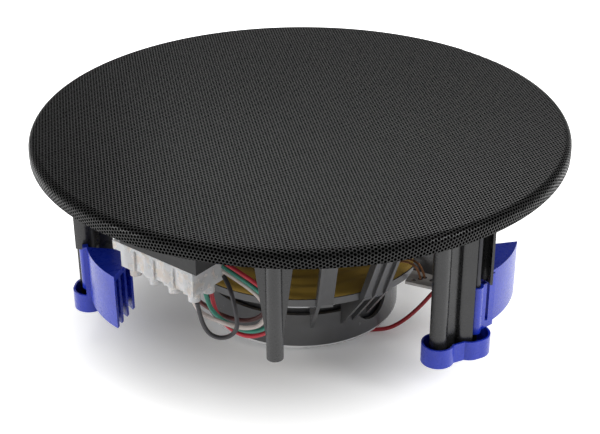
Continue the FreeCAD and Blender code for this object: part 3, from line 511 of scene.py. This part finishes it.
def wire_line(name, points, diameter):
    """A smooth curve in metres, with the route's points as its control points."""
    curve = bpy.data.curves.new(name, "CURVE")
    curve.dimensions = "3D"
    spline = curve.splines.new("NURBS")
    spline.points.add(len(points) - 1)
    for point, place in zip(spline.points, points):
        point.co = (*(c * MM for c in place), 1)
    spline.order_u = 3
    spline.use_endpoint_u = True
    spline.resolution_u = 16
    curve.bevel_depth = diameter / 2 * MM
    curve.bevel_resolution = 5
    curve.use_fill_caps = True
    wire = bpy.data.objects.new(name + "_sleeve", curve)
    bpy.context.collection.objects.link(wire)
    return wire


def lay_wires():
    """The insulated wires stay with the frame."""
    for name, (length, diameter, finish, points) in WIRES.items():
        wire = wire_line(name, points, diameter)
        wire.data.materials.append(finish)
        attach(wire, "baffle")
        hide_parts(name)


def hang_tinsel():
    """The leads from the cone to the tag board, as braided copper meshes."""
    copper = braided_copper()
    for name, (length, diameter, points) in TINSEL.items():
        bare = wire_line(name, points, 0)
        graph = bpy.context.evaluated_depsgraph_get()
        line = bpy.data.meshes.new_from_object(bare.evaluated_get(graph))
        bpy.data.objects.remove(bare)
        pick(wire_line(name, points, diameter))
        bpy.ops.object.convert(target="MESH")
        lead = bpy.context.object
        lead.data.materials.clear()
        lead.data.materials.append(copper)
        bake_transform(lead)
        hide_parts(name)


# Soft parts of the driver: sizes in millimetres, with counts, shares and one angle in degrees
ROUND_STEPS = 144
SPIDER_NECK_R = 13.1
SPIDER_HUB_R = 14.7
SPIDER_GLUE_RIM = 4.4
SPIDER_NECK_LIP = 0.6
SPIDER_HUB_DROP = 1.0
SPIDER_SLOPE = 0.72
SPIDER_ROLLS = 6
SPIDER_STEPS = 48
SPIDER_ROLL_RISE = 0.6
SPIDER_ROLL_FADE = 0.2
SPIDER_RIM_LIFT = 0.1
SPIDER_LEAST_LIFT = 0.02
SPIDER_THICK = 0.45
ROLL_MIDDLE_R = 83.8
ROLL_R = 3.5
ROLL_STEPS = 36
ROLL_SEAT_LIFT = 0.2
ROLL_THICK = 0.4
ROLL_PIECES = 12
ROLL_SMOOTH_BELOW = 50
INNER_LIP_R = 77.1


def give_thickness(sheet, name, thickness):
    """Turns the active sheet into a wall, half of it to each side."""
    wall = sheet.modifiers.new(name, "SOLIDIFY")
    wall.thickness = thickness
    wall.offset = 0
    bpy.ops.object.modifier_apply(modifier=wall.name)


def spider_rings(rim, z_rim, z_neck):
    """Radius and height of each ring in millimetres, from the former outwards over the rolls."""
    flat = rim - SPIDER_GLUE_RIM
    rings = [(SPIDER_NECK_R, z_neck)]
    for k in range(SPIDER_STEPS + 1):
        share = k / SPIDER_STEPS
        roll = SPIDER_ROLL_RISE * (1 - math.cos(2 * math.pi * SPIDER_ROLLS * share))
        sink = SPIDER_HUB_DROP + (z_neck - z_rim - SPIDER_RIM_LIFT) * SPIDER_SLOPE * share
        rings.append((SPIDER_HUB_R + (flat - SPIDER_HUB_R) * share,
                      z_neck - sink + roll * (1 - SPIDER_ROLL_FADE * share)))
    rings.append((rim, z_rim + SPIDER_RIM_LIFT))
    return [(r, max(z, z_rim + SPIDER_LEAST_LIFT)) for r, z in rings]


def spider_sheet():
    """Rolls pressed in a cloth disc, ring by ring from the former outwards."""
    low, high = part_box("spider")
    z_rim, z_neck = low.z / MM, high.z / MM - SPIDER_NECK_LIP
    rings = spider_rings(high.x / MM, z_rim, z_neck)
    bpy.ops.object.select_all(action="DESELECT")
    bpy.ops.mesh.primitive_circle_add(vertices=ROUND_STEPS, radius=SPIDER_NECK_R * MM,
                                      location=(0, 0, z_neck * MM))
    cloth = bpy.context.object
    cloth.name = "spider_cloth"
    bpy.ops.object.mode_set(mode="EDIT")
    bpy.ops.mesh.select_all(action="SELECT")
    for (r0, z0), (r1, z1) in zip(rings, rings[1:]):
        bpy.ops.mesh.extrude_edges_move()
        bpy.ops.transform.resize(value=(r1 / r0, r1 / r0, 1))
        bpy.ops.transform.translate(value=(0, 0, (z1 - z0) * MM))
    bpy.ops.mesh.select_all(action="SELECT")
    bpy.ops.mesh.normals_make_consistent(inside=False)
    bpy.ops.object.mode_set(mode="OBJECT")
    bpy.ops.object.transform_apply()
    give_thickness(cloth, "cloth_thickness", SPIDER_THICK * MM)
    bpy.ops.object.shade_smooth()
    cloth.data.materials.append(node_finish["spider"])
    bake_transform(cloth)
    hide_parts("spider")


def surround_roll():
    """Half roll with its lips, in twelve pieces round the axis."""
    low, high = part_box("surround")
    base = low.z + ROLL_SEAT_LIFT * MM
    middle, roll = ROLL_MIDDLE_R * MM, ROLL_R * MM
    bpy.ops.object.select_all(action="DESELECT")
    bpy.ops.mesh.primitive_torus_add(major_segments=ROUND_STEPS, minor_segments=ROLL_STEPS,
                                     major_radius=middle, minor_radius=roll, location=(0, 0, base))
    whole = bpy.context.object
    bpy.ops.object.transform_apply()
    bpy.ops.object.mode_set(mode="EDIT")
    bpy.ops.mesh.select_all(action="SELECT")
    bpy.ops.mesh.bisect(plane_co=(0, 0, base), plane_no=(0, 0, 1), clear_inner=True)
    for edge_r, lip_r in ((middle + roll, high.x), (middle - roll, INNER_LIP_R * MM)):
        bpy.ops.mesh.select_all(action="DESELECT")
        bpy.ops.object.mode_set(mode="OBJECT")
        for edge in whole.data.edges:
            ends = [whole.data.vertices[i].co for i in edge.vertices]
            at_base = all(abs(end.z - base) < 0.01 * MM for end in ends)
            outside = ends[0].xy.length > middle
            edge.select = at_base and outside == (edge_r > middle)
        bpy.ops.object.mode_set(mode="EDIT")
        bpy.ops.mesh.select_mode(type="EDGE")
        bpy.ops.mesh.extrude_edges_move()
        bpy.ops.transform.resize(value=(lip_r / edge_r, lip_r / edge_r, 1))
    half = math.radians(180 / ROLL_PIECES)
    for side in (-1, 1):
        bpy.ops.mesh.select_all(action="SELECT")
        bpy.ops.mesh.bisect(plane_co=(0, 0, 0), plane_no=(math.sin(half), side * math.cos(half), 0),
                            clear_inner=True)
    bpy.ops.mesh.select_all(action="SELECT")
    bpy.ops.mesh.normals_make_consistent(inside=False)
    bpy.ops.object.mode_set(mode="OBJECT")
    give_thickness(whole, "roll_thickness", ROLL_THICK * MM)
    bpy.ops.object.shade_smooth_by_angle(angle=math.radians(ROLL_SMOOTH_BELOW))
    whole.data.materials.append(node_finish["surround"])
    for k in range(ROLL_PIECES):
        turn = 2 * half * k
        piece = whole.copy()
        piece.data = whole.data.copy()
        piece.name = f"surround_roll_{k + 1}"
        bpy.context.collection.objects.link(piece)
        pick(piece)
        piece.rotation_euler = (0, 0, turn)
        bpy.ops.object.transform_apply()
        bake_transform(piece)
        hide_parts("surround")
    bpy.data.objects.remove(whole)


# Studio, in metres: the floor's glow grows from near the part outwards, a painted shadow round the part, and
# stops below the floor
FLOOR_SIZE = 6.0
FLOOR_DROP = 0.0002
PAINTED_SHADOW_MIDDLE_X = -0.015
PAINTED_SHADOW_R, PAINTED_SHADOW_SOFT = 0.107, 0.05
GLOW_IN_PAINTED_SHADOW, GLOW_GAIN = 0.08, 0.87

# How bright the sky is to each kind of ray
SKY_LEVELS = {"Camera": 1.0, "Transmission": 0.9, "Glossy": 0.3, "Diffuse": 0.36}

# Rectangular lamps: place, aim, size and power in watts
LAMPS = {
    "top_softbox": ((0.0, 0.1, 1.35), (0, 0, 0.05), (1.3, 0.9), 9),
    "back_softbox": ((0.2, 1.3, 0.95), (0, 0, 0.1), (1.0, 0.3), 3.6),
    "left_strip": ((-1.0, -0.4, 0.24), (0, 0, 0.05), (0.22, 0.42), 3.5),
    "right_strip": ((0.9, -0.5, 0.6), (0, 0, 0.05), (0.3, 0.5), 5),
}


def studio_floor():
    """A pale floor that shows white to the camera, keeps the soft shadow, darkens round the part with a
    painted shadow, and is clear from below.
    """
    bpy.ops.mesh.primitive_plane_add(size=FLOOR_SIZE, location=(0, 0, -FLOOR_DROP))
    floor = bpy.context.object
    floor.name = "studio_floor"
    finish = Finish("white_studio_floor")
    seen = largest(finish.ray(kind) for kind in ("Camera", "Glossy", "Transmission"))
    # Painted shadow: the glow seen by camera, glossy and transmission rays is weak round the part, centred a
    # little to its left, and grows outwards to white.
    x, y = finish.place.part("X") - PAINTED_SHADOW_MIDDLE_X, finish.place.part("Y")
    outside_painted_shadow = (x * x + y * y).root().over(PAINTED_SHADOW_R, PAINTED_SHADOW_SOFT)
    below = finish.node("ShaderNodeNewGeometry", output="Backfacing")
    finish.set(Base_Color=(0.85, 0.85, 0.845), Roughness=0.9, Specular_IOR_Level=0.1,
               Emission_Color=grey(1.0), Emission_Strength=seen * (outside_painted_shadow * GLOW_GAIN + GLOW_IN_PAINTED_SHADOW),
               Alpha=1.0 - below)
    floor.data.materials.append(finish.material)


def sky():
    """White where the camera looks past the object, dimmer where it only lights."""
    world = bpy.data.worlds.new("studio_sky")
    bpy.context.scene.world = world
    network = Network(world)
    level = largest(network.ray(kind) * strength for kind, strength in SKY_LEVELS.items())
    back = network.tree.nodes["Background"]
    network.join(grey(1.0), back.inputs["Color"])
    network.join(level, back.inputs["Strength"])


def lamp(name, place, aim, size, power):
    """One soft lamp that faces its aim."""
    bpy.ops.object.light_add(type="AREA", location=place)
    light = bpy.context.object
    light.name = name
    light.data.shape = "RECTANGLE"
    light.data.size, light.data.size_y = size
    light.data.energy = power
    away = Vector(place) - Vector(aim)
    light.rotation_euler = away.to_track_quat("Z", "Y").to_euler()


def photo_camera():
    """The camera stands in front of the part, looks down at it, and is rolled a little."""
    bpy.ops.object.camera_add(location=(0, -CAMERA_BACK, CAMERA_HEIGHT))
    camera = bpy.context.object
    camera.name = "photo_camera"
    camera.rotation_mode = "ZYX"
    camera.rotation_euler = (math.radians(90 - CAMERA_DOWN), 0, math.radians(CAMERA_ROLL))
    camera.data.lens = LENS
    camera.data.sensor_width = SENSOR
    camera.data.sensor_fit = "HORIZONTAL"
    camera.data.shift_x = SIDE_SHIFT
    camera.data.clip_start, camera.data.clip_end = NEAREST_SEEN, FARTHEST_SEEN
    bpy.context.scene.camera = camera


bpy.ops.object.select_all(action="DESELECT")
photo_camera()
lay_wires()
hang_tinsel()
spider_sheet()
surround_roll()
studio_floor()
sky()
for name, settings in LAMPS.items():
    lamp(name, *settings)
bpy.context.scene.view_settings.view_transform = "Standard"
